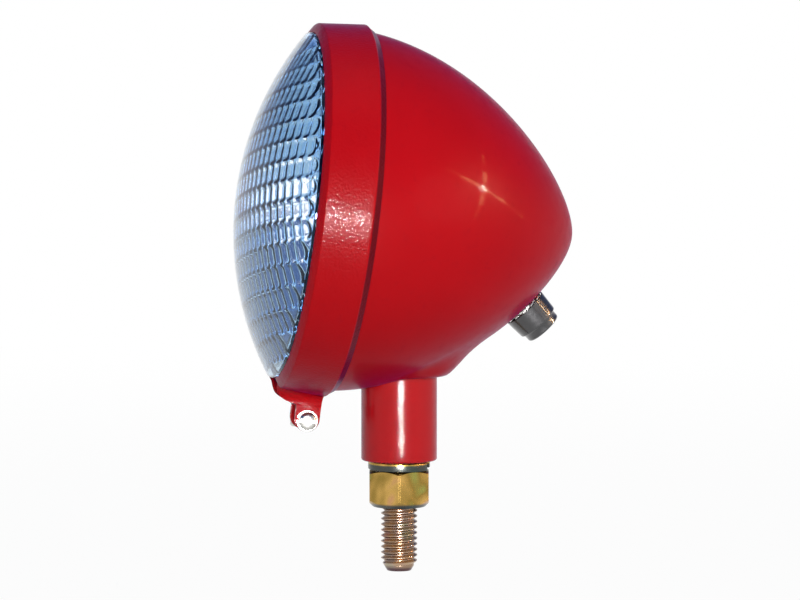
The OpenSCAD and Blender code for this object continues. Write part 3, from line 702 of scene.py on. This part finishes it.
def build_stud():
    end_at, thread_top, shank_r = -38.6, 3.2, 5.75
    bm = rolled_thread(STUD_R, PITCH, end_at, thread_top, steps=72, tip=(3.6, 4.2),
                       start=radians(200))
    shank_end = SADDLE_TOP + 0.6
    shank = turned([(0, thread_top - 0.1), (shank_r - 0.45, thread_top - 0.1),
                    (shank_r, thread_top + 0.4), (shank_r, shank_end), (0, shank_end)], steps=64)
    close_up(shank)
    join(bm, shank)
    head_across, head_h = 19.0, 7.9
    head = sided(6, head_across, head_h, bore=0, low_face=0, high_face=8.6, high_lean=0.5)
    join(bm, head, along(SADDLE_TOP))
    finish_piece(bm, "threaded_stud", "housing", thread_zinc, ["mount_bolt"],
                 SEAT_PLACE, smooth=28)


def build_nut():
    bm = sided(6, NUT_ACROSS, NUT_H, bore=STUD_R + 0.05, low_face=9.2, high_face=10.25,
               low_lean=1.0, high_lean=0.62, per_side=24)
    turn_by(bm, radians(-10))
    finish_piece(bm, "mounting_nut", "nut", yellow_zinc, ["mount_nut"],
                 SEAT_PLACE @ along(NUT_BOTTOM), smooth=24)


def build_lock_washer():
    bm = split_ring(inner=6.75, outer=10.8, height=2.8, rise=1.0, gap=radians(10),
                    start=radians(65))
    finish_piece(bm, "spring_washer", "washer", washer_zinc, ["lock_washer"],
                 SEAT_PLACE @ along(RECESS), smooth=40)


build_stud()
build_nut()
build_lock_washer()


# ---------------- clamp screw

EAR_OUT, WASHER_H, SQUARE_NUT_H = EAR_X + SHEET / 2, 0.9, 3.2


def build_clamp_screw():
    r, pitch, thread_top, spare = 2.4, 1.058, -2.4, 5
    head_at, end_at = EAR_OUT + WASHER_H, -(EAR_OUT + SQUARE_NUT_H + spare)
    bm = rolled_thread(r, pitch, end_at, thread_top, steps=40, tip=(0.8, 1.9))
    shank = turned([(0, thread_top - 0.2), (r - 0.4, thread_top - 0.2), (r, thread_top + 0.2),
                    (r, head_at + 0.1), (0, head_at + 0.1)], steps=48)
    close_up(shank)
    join(bm, shank)
    # a cheese head with a domed top, whose slot is pressed in between two pairs of cuts
    head_r, h, slot, brim = 3.1, 2.6, 0.6, 0.15
    line = [(0, 0), (head_r - brim, 0), (head_r, brim), (head_r, h * 0.5)]
    line += [(head_r * cos(radians(a)) ** 0.6, h * 0.5 + h * 0.5 * sin(radians(a)))
             for a in range(12, 85, 12)]
    line += [(0, h)]
    head = turned(line, steps=64)
    close_up(head)
    for at in (-slot - 0.02, 0.02 - slot, slot - 0.02, slot + 0.02):
        geom = head.verts[:] + head.edges[:] + head.faces[:]
        bmesh.ops.bisect_plane(head, geom=geom, dist=1e-5, plane_co=(0, at, 0), plane_no=(0, 1, 0))
    for v in head.verts:
        if abs(v.co.y) < slot and v.co.z > h * 0.5:
            v.co.z = h * 0.5
    join(bm, head, along(head_at))
    finish_piece(bm, "clamp_bolt", "clamp_screw", bright_zinc, ["clamp_screw"],
                 SCREW_PLACE, smooth=30)


def build_clamp_nut():
    bm = sided(4, 7.0, SQUARE_NUT_H, bore=2.45, low_face=3.4, high_face=3.4, per_side=20)
    turn_by(bm, pi / 4)
    finish_piece(bm, "clamp_square_nut", "clamp_nut", bright_zinc, ["clamp_nut"],
                 SCREW_PLACE @ along(-EAR_OUT - SQUARE_NUT_H), smooth=24)


def build_clamp_washer():
    bm = split_ring(inner=2.8, outer=3.8, height=WASHER_H, rise=0.0, gap=radians(12), steps=64,
                    corner=0.15)
    finish_piece(bm, "clamp_spring_washer", "front", bright_zinc, ["clamp_washer"],
                 SCREW_PLACE @ along(EAR_OUT + WASHER_H), smooth=40)


build_clamp_screw()
build_clamp_nut()
build_clamp_washer()


# ---------------- gland

def build_gland():
    bore, neck, base, shoulder, end = 3.2, GLAND_NECK, 8.1, 7.6, 6.7
    foot, grip_from, grip, top = -6.6, 1.0, 6.6, 11.2
    points = [(bore, foot), (neck - 0.2, foot), (neck, foot + 0.2), (neck, grip_from - 0.2),
              (base - 0.2, grip_from - 0.2), (base, grip_from)]
    points += [(base - (base - shoulder) * t, grip_from + grip * t) for t in (0.33, 0.66, 1)]
    points += arc(shoulder - 0.6, grip_from + grip, 0.6, 0, 90, 5)[1:]
    points += [(end + 0.15, 8.22), (end, 8.4), (end - 0.05, top - 0.8)]
    points += arc(end - 0.85, top - 0.8, 0.8, 0, 90, 6)[1:] + [(bore + 0.3, top), (bore, top - 0.3)]
    bm = turned(points, steps=128, closed=True)
    close_up(bm)
    finish_piece(bm, "gland_moulding", "housing", black_plastic, ["gland_body"],
                 GLAND_PLACE, smooth=40)


def build_gland_washer():
    inner, outer, low, high, teeth = GLAND_NECK + 0.05, 6.9, 0.12, 0.68, 14
    bm = turned([(inner, low), (outer, low), (outer, high), (inner, high)], steps=112, closed=True)
    close_up(bm)
    for i in range(teeth):
        tooth = bmesh.new()
        bmesh.ops.create_cube(tooth, size=1.0)
        bmesh.ops.scale(tooth, vec=(1.5, 2.1, 0.52), verts=tooth.verts)
        for v in tooth.verts:
            if v.co.x > 0:
                v.co.y *= 0.82
        bmesh.ops.bevel(tooth, geom=tooth.edges[:], offset=0.08, offset_type="OFFSET", segments=1,
                        profile=0.5, affect="EDGES", material=-1)
        twist = Matrix.Rotation(radians(9), 4, "X")
        join(bm, tooth, Matrix.Rotation(2 * pi * i / teeth + pi / teeth, 4, "Z")
             @ Matrix.Translation((outer + 0.45, 0, (low + high) / 2)) @ twist)
    finish_piece(bm, "toothed_washer", "housing", bright_zinc, ["gland_washer"],
                 GLAND_PLACE, smooth=30)


def build_gland_nut():
    height, clear, across = 3.4, 1.0, 16.2 * cos(pi / 6)
    bm = sided(6, across, height, bore=GLAND_NECK + 0.05, low_face=6.9, high_face=6.9)
    under = GLAND_SINK - SHEET - clear - height
    finish_piece(bm, "gland_back_nut", "housing", bright_zinc, ["gland_nut"],
                 GLAND_PLACE @ along(under), smooth=24)


build_gland()
build_gland_washer()
build_gland_nut()


# ---------------- lens

# the width of a flute and of a row of blocks, and how the rows lean
FLUTE, BAND, LENS_TURN = 4.1, 6.8, radians(12)
# how far out the rows reach, how soft a block's edge is, and how far blocks and flutes rise
PATTERN_R, BLOCK_EDGE, FLUTE_EDGE, BLOCK_RISE, FLUTE_RISE = 55.4, 1.5, 0.8, 0.36, 0.26


def inner_dome(r):
    """Where the inside of the glass lies at a radius."""
    inside = DOME_R - GLASS
    return DOME_CENTRE - sqrt(inside * inside - r * r)


def relief(x, y):
    """How far the pressed pattern stands in from the inside of the dome: rows of blocks with
    half-round ends, each row crossed by flutes."""
    a = x * cos(LENS_TURN) - y * sin(LENS_TURN)
    b = x * sin(LENS_TURN) + y * cos(LENS_TURN)
    row = (floor(b / BAND) + 0.5) * BAND
    half = BAND / 2
    reach = sqrt(max(0.0, PATTERN_R ** 2 - row * row)) - half
    if reach < -half:
        return 0.0
    inside = half - hypot(max(0.0, abs(a) - max(0.0, reach)), b - row)
    if inside <= 0:
        return 0.0
    fx = (a / FLUTE) % 1.0 * 2 - 1
    edge = min(1.0, inside / BLOCK_EDGE)
    rise = 1 - (1 - edge) ** 2
    return BLOCK_RISE * rise + FLUTE_RISE * (1 - fx * fx) * min(1.0, inside / FLUTE_EDGE)


def build_lens():
    dome_edge, bevel = asin(59.65 / DOME_R), 0.3
    outside = [(DOME_R * sin(a), DOME_CENTRE - DOME_R * cos(a))
               for a in (dome_edge * i / 40 for i in range(41))]
    points = outside + [(59.8, -38.75), (59.86, -38.4), (59.86, -36.7), (60.0, -36.4)]
    points += [(61.2, -35.65), (FLANGE_R, -35.4), (FLANGE_R, LENS_BACK - bevel),
               (FLANGE_R - bevel, LENS_BACK), (CLEAR_R + bevel, LENS_BACK),
               (CLEAR_R, LENS_BACK - bevel)]
    bm = turned(points, steps=256)
    bmesh.ops.remove_doubles(bm, verts=bm.verts, dist=1e-4)

    # the pressed face: a grid whose lines run along the flutes and bands
    cols, rows = 8, 8
    nx, ny = 2 * ceil(CLEAR_R / FLUTE) * cols, 2 * ceil(CLEAR_R / BAND) * rows
    face = bmesh.new()
    bmesh.ops.create_grid(face, x_segments=nx, y_segments=ny, size=1.0)
    wide, high = nx / cols * FLUTE / 2, ny / rows * BAND / 2
    for v in face.verts:
        a, b = v.co.x * wide, v.co.y * high
        v.co = (a * cos(LENS_TURN) + b * sin(LENS_TURN),
                -a * sin(LENS_TURN) + b * cos(LENS_TURN), 0)
    out = {v for v in face.verts if v.co.length > CLEAR_R}
    beyond = [f for f in face.faces if all(v in out for v in f.verts)]
    bmesh.ops.delete(face, geom=beyond, context="FACES")
    for v in face.verts:
        r = hypot(v.co.x, v.co.y)
        if r > CLEAR_R or v.is_boundary:
            v.co.x *= CLEAR_R / r
            v.co.y *= CLEAR_R / r
    bmesh.ops.remove_doubles(face, verts=face.verts, dist=0.02)
    bmesh.ops.dissolve_degenerate(face, dist=1e-3, edges=face.edges)
    for v in face.verts:
        r = hypot(v.co.x, v.co.y)
        v.co.z = inner_dome(r) + relief(v.co.x, v.co.y)
    join(bm, face)
    loops = [e for e in bm.edges if e.is_boundary]
    bmesh.ops.bridge_loops(bm, edges=loops)
    face_out(bm)
    finish_piece(bm, "fluted_lens", "front", lens_glass, ["lens"], LAMP_PLACE,
                 smooth=50)


def build_gasket():
    r0, r1, front, back, soft = CLEAR_R, FLANGE_R - 0.2, LENS_BACK, LENS_BACK + GASKET, 0.25
    points = [(r0 + soft, front), (r1 - soft, front), (r1, front + soft), (r1, back - soft),
              (r1 - soft, back), (r0 + soft, back), (r0, back - soft), (r0, front + soft)]
    bm = turned(points, steps=192, closed=True)
    close_up(bm)
    finish_piece(bm, "seal_ring", "front", rubber, ["lens_gasket"], LAMP_PLACE, smooth=50)


build_lens()
build_gasket()


# ---------------- reflector and bulb

def build_reflector():
    wall, back, neck, steps = 0.8, LENS_BACK + GASKET, 14.0, 60
    inner, outer = [], []
    for i in range(steps + 1):
        r = BOWL_R + (neck - BOWL_R) * i / steps
        z = APEX - r * r / (4 * FOCUS)
        inner.append((r, z))
        n = hypot(2 * FOCUS, r)
        p = (r + wall * r / n, z + wall * 2 * FOCUS / n)
        if p[1] > back + wall and p[0] > neck + wall:
            outer.append(p)
    points = [(FLANGE_R - 0.2, back)] + inner
    points += [(neck, BULB_SEAT + 0.4), (neck + wall, BULB_SEAT + 0.4)] + outer[::-1]
    points += [(CLEAR_R, back + wall), (FLANGE_R - 0.2, back + wall)]
    bm = turned(points, steps=192, closed=True)
    close_up(bm)
    finish_piece(bm, "silvered_bowl", "front", mirror, ["reflector"],
                 LAMP_PLACE, smooth=35)


def build_capsule():
    r, wall, top, foot = 5.5, 0.9, FILAMENT - 12, BULB_SEAT - 0.4
    outer = [(r * sin(radians(a)), top + r * (1 - cos(radians(a)))) for a in range(0, 91, 6)]
    inner = [((r - wall) * sin(radians(a)), top + wall + (r - wall) * (1 - cos(radians(a))))
             for a in range(90, -1, -6)]
    skin = turned(outer + [(r, foot - 0.4), (r - 0.4, foot), (0, foot)], steps=64)
    close_up(skin)
    hollow = turned([(0, foot - 3), (r - wall - 1.0, foot - 3), (r - wall, foot - 3.8)] + inner,
                    steps=64)
    close_up(hollow)
    bmesh.ops.reverse_faces(hollow, faces=hollow.faces)
    join(skin, hollow)
    finish_piece(skin, "bulb_envelope", "front", bulb_glass, ["bulb_capsule"],
                 LAMP_PLACE, smooth=50)


def build_filament():
    bm = bmesh.new()
    coil_r, wire, turns, pitch, steps = 0.62, 0.16, 11, 0.42, 20
    section = arc(coil_r, 0, wire, 0, 300, 5)
    geom = draw_profile(bm, section, closed=True)
    bmesh.ops.spin(bm, geom=geom, cent=(0, 0, 0), axis=(0, 0, 1), dvec=(0, 0, pitch / steps),
                   angle=2 * pi * turns, steps=steps * turns)
    cap_ends(bm)
    bmesh.ops.translate(bm, vec=(0, 0, -2.3), verts=bm.verts)
    turn_by(bm, pi / 2, "Y")
    post_r, foot, tall, apart = 0.35, -0.3, 14.6, 2.5
    for side in (-1, 1):
        post = turned([(0, foot), (post_r - 0.05, foot), (post_r, foot + 0.1), (post_r, tall),
                       (0, tall)], steps=20)
        close_up(post)
        join(bm, post, Matrix.Translation((side * apart, 0, 0)))
    face_out(bm)
    finish_piece(bm, "coiled_filament", "front", tungsten, ["bulb_filament"],
                 LAMP_PLACE @ along(FILAMENT), smooth=40)


def build_bulb_base():
    seat, back, end = BULB_SEAT, BULB_BACK, BULB_BACK + HUB
    # a disc in the capsule's foot, the collar, the flange and the hub
    points = [(0, seat), (4.3, seat), (4.3, seat - 0.4), (5.55, seat - 0.4), (5.55, seat - 3.9),
              (5.65, seat - 4), (6.05, seat - 4), (6.15, seat - 3.9), (6.15, seat - 0.2),
              (6.35, seat), (10.8, seat), (11, seat + 0.2), (11, back - 0.2), (10.8, back),
              (6.7, back), (6.5, back + 0.2), (6.5, end - 0.4), (6.1, end), (0, end)]
    bm = turned(points, steps=96)
    close_up(bm)
    finish_piece(bm, "bulb_metal_base", "front", bright_zinc, ["bulb_base"],
                 LAMP_PLACE, smooth=35)


def build_clip():
    """The wire clip, one closed loop with round corners."""
    half, up, down, r, turn = 9.0, -17.0, 16.0, 0.75, 1.6
    corners = [(half, up), (half, down), (-half, down), (-half, up)]
    points = []
    for i, (x, y) in enumerate(corners):
        px, py = corners[i - 1]
        nx, ny = corners[(i + 1) % 4]
        a = Vector((px - x, py - y)).normalized()
        b = Vector((nx - x, ny - y)).normalized()
        for k in range(7):
            t = radians(90 * k / 6)
            # quarter turn from the incoming side to the outgoing one
            c = Vector((x, y)) + (a + b) * turn
            p = c - b * turn * cos(t) - a * turn * sin(t)
            points.append((p.x, p.y))
    curve = bpy.data.curves.new("clip_wire", "CURVE")
    curve.dimensions = "3D"
    line = curve.splines.new("POLY")
    line.points.add(len(points) - 1)
    for q, (x, y) in zip(line.points, points):
        q.co = (*(LAMP_PLACE @ Vector((x, y, CLIP_AT))), 1)
    line.use_cyclic_u = True
    curve.bevel_depth = r / 1000
    curve.bevel_resolution = 5
    maker = bpy.data.objects.new("clip_wire", curve)
    scene.collection.objects.link(maker)
    bpy.context.view_layer.update()
    graph = bpy.context.evaluated_depsgraph_get()
    mesh = bpy.data.meshes.new_from_object(maker.evaluated_get(graph))
    bpy.data.objects.remove(maker)
    bm = bmesh.new()
    bm.from_mesh(mesh)
    bpy.data.meshes.remove(mesh)
    bmesh.ops.remove_doubles(bm, verts=bm.verts, dist=1e-7)
    face_out(bm)
    finish_piece(bm, "clip_wire", "clip", spring_steel, ["bulb_clip"], smooth=60)


def build_lead():
    r, length = 1.3, 7.0
    bm = turned([(0, 0), (r, 0), (r, 3.2), (r, length), (0.5, length), (0, length)], steps=32)
    close_up(bm)
    finish_piece(bm, "bulb_wire", "front", lead_cover, ["bulb_lead"],
                 LAMP_PLACE @ along(BULB_BACK + HUB), smooth=40)


build_reflector()
build_capsule()
build_filament()
build_bulb_base()
build_clip()
build_lead()

# CAD nodes that keep their own shape
for node, finish in (("saddle_washer", spring_steel), ("bulb_holder", bright_zinc),
                     ("bulb_terminal", terminal_plastic)):
    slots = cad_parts[node].material_slots
    for slot in slots:
        slot.material = finish
    if not slots:
        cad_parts[node].data.materials.append(finish)


# ---------------- floor, world, lights, camera

def white_card(name, plain, near=1.0):
    """Pale card that is white to the camera, in gloss and through glass, and keeps shadows.
    Near the object a share of it stays plain card."""
    card = Nodes(bpy.data.materials.new(name))
    matt = card.node("ShaderNodeBsdfDiffuse")
    glow = card.node("ShaderNodeEmission")
    for shader, grey in ((matt, plain), (glow, 1)):
        shader.inputs["Color"].default_value = (grey, grey, grey, 1)
    seen = card.node("ShaderNodeLightPath").outputs
    rays = seen["Is Camera Ray"]
    for kind in ("Is Glossy Ray", "Is Transmission Ray"):
        rays = card.maths("MAXIMUM", rays, seen[kind])
    far = card.vector("LENGTH", card.node("ShaderNodeTexCoord").outputs["Object"])["Value"]
    white = card.maths("MULTIPLY", rays, card.span(far, 0.15, 1.0, near, 1.0, soft=True))
    mix = card.node("ShaderNodeMixShader")
    for socket, source in (("Fac", white), (1, matt.outputs[0]), (2, glow.outputs[0])):
        card.link(source, mix.inputs[socket])
    card.link(mix.outputs[0], card.node("ShaderNodeOutputMaterial").inputs["Surface"])
    return card.owner


def stage_piece(name, bm, material):
    mesh = bpy.data.meshes.new(name)
    bm.to_mesh(mesh)
    bm.free()
    obj = bpy.data.objects.new(name, mesh)
    scene.collection.objects.link(obj)
    mesh.materials.append(material)


def plain_stage():
    """A pale floor at the stud's end, and a pale card that stands behind the headlamp."""
    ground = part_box("mount_bolt")[0].z - 0.0001
    bm = bmesh.new()
    bmesh.ops.create_grid(bm, x_segments=2, y_segments=2, size=6.0)
    bmesh.ops.translate(bm, vec=(0, 0, ground), verts=bm.verts)
    stage_piece("floor", bm, white_card("pale_floor", 0.3, near=0.97))
    away, half_wide, high, turn = 1.9, 0.8, 0.6, radians(170)
    foot = ground + 0.0002
    bm = bmesh.new()
    bm.faces.new([bm.verts.new((away, y, z)) for y, z in (
        (half_wide, foot), (-half_wide, foot), (-half_wide, foot + high), (half_wide, foot + high))])
    turn_by(bm, turn)
    stage_piece("backdrop", bm, white_card("pale_backdrop", 0.6))


def dim_world():
    """A dim blue room, white to the camera, whose pale horizon shows in gloss alone."""
    room = Nodes(bpy.data.worlds.new("studio"))
    scene.world = room.owner
    axes = room.node("ShaderNodeSeparateXYZ")
    room.link(room.node("ShaderNodeTexCoord").outputs["Generated"], axes.inputs[0])
    horizon = room.span(axes.outputs["Z"], 0.0, 0.36, 0.85, 0.0, soft=True)
    seen = room.node("ShaderNodeLightPath").outputs
    pale = room.maths("MULTIPLY", horizon, seen["Is Glossy Ray"])
    tint = room.mix(pale, (0.086, 0.138, 0.304), (1.0, 0.9, 0.86))
    shade = room.node("ShaderNodeBackground")
    room.link(room.mix(seen["Is Camera Ray"], tint, (1, 1, 1)), shade.inputs["Color"])
    room.link(shade.outputs[0], room.node("ShaderNodeOutputWorld").inputs["Surface"])


def lamp(name, azimuth, elevation, distance, size, power, tint=(1, 1, 1), size_y=None, roll=0.0,
         gloss=True, matt=True):
    """A soft lamp that faces the headlamp, from an azimuth and an elevation in degrees. Gloss and
    matt say whether it shows in reflections and lights matt surfaces."""
    centre = Vector((0, 0, 0.095))
    a, e = radians(azimuth), radians(elevation)
    way = Vector((sin(a) * cos(e), -cos(a) * cos(e), sin(e)))
    light = bpy.data.lights.new(name, "AREA")
    light.shape = "RECTANGLE" if size_y else "DISK"
    light.size = size
    if size_y:
        light.size_y = size_y
    light.energy = power
    light.color = tint
    obj = bpy.data.objects.new(name, light)
    obj.location = centre + way * distance
    facing = (-way).to_track_quat("-Z", "Y").to_matrix().to_4x4()
    obj.rotation_euler = (facing @ Matrix.Rotation(radians(roll), 4, "Z")).to_euler()
    obj.visible_glossy, obj.visible_diffuse = gloss, matt
    scene.collection.objects.link(obj)


def camera():
    """The photo's camera: its focal length in pixels, its place and where it looks."""
    focal, photo_wide = 3454, 800
    place, target = Vector((1.17917, -0.20759, 0.16088)), Vector((0.0, 0.00033, 0.08135))
    data = bpy.data.cameras.new("camera")
    data.sensor_width = 36.0
    data.lens = focal / photo_wide * data.sensor_width
    data.clip_start = 0.01
    data.clip_end = 50.0
    obj = bpy.data.objects.new("camera", data)
    obj.location = place
    obj.rotation_euler = (target - place).to_track_quat("-Z", "Y").to_euler()
    scene.collection.objects.link(obj)
    scene.camera = obj


plain_stage()
dim_world()
camera()
# the main light, and the bright streak and patches that the paint's skin shows of it
lamp("key", 85, 6, 1.5, 0.6, 15, (1.0, 0.98, 0.95), gloss=False)
lamp("flash", 86, -3, 1.3, 0.08, 36, (1.0, 0.97, 1.0), matt=False)
# the glint on the shell, with its crossed arms
lamp("spark", 164.8, 13.9, 1.2, 0.045, 2.4, (1.0, 0.94, 0.86))
for arm, roll, length in (("rising", -37, 0.95), ("falling", 56, 0.8)):
    lamp("spark_" + arm, 166.3, 13.1, 1.22, length, 0.8, (1.0, 0.42, 0.12), size_y=0.014,
         roll=roll, matt=False)
    lamp("spark_core_" + arm, 165.4, 13.5, 1.21, length * 0.5, 1.6, (1.0, 0.62, 0.3),
         size_y=0.03, roll=roll, matt=False)
lamp("overhead", 110, 80, 1.5, 1.2, 1.6)
lamp("front_fill", 18, 7, 1.8, 0.9, 1.6, (1.0, 0.94, 0.86))
lamp("back_fill", 142, 7, 1.8, 0.9, 1.8, (1.0, 0.96, 0.9))
# these show in the glass alone
lamp("lens_glow", 20, 2, 1.6, 0.85, 9, (1.0, 0.44, 0.22), size_y=0.9, gloss=False, matt=False)
lamp("lens_depth", 321, 3, 1.6, 0.8, 6, (0.2, 0.5, 1.0), size_y=1.1, gloss=False, matt=False)
lamp("lens_side", 290, 3, 1.6, 0.8, 1.6, (0.25, 0.5, 1.0), size_y=1.1, gloss=False, matt=False)

scene.view_settings.view_transform = "Standard"
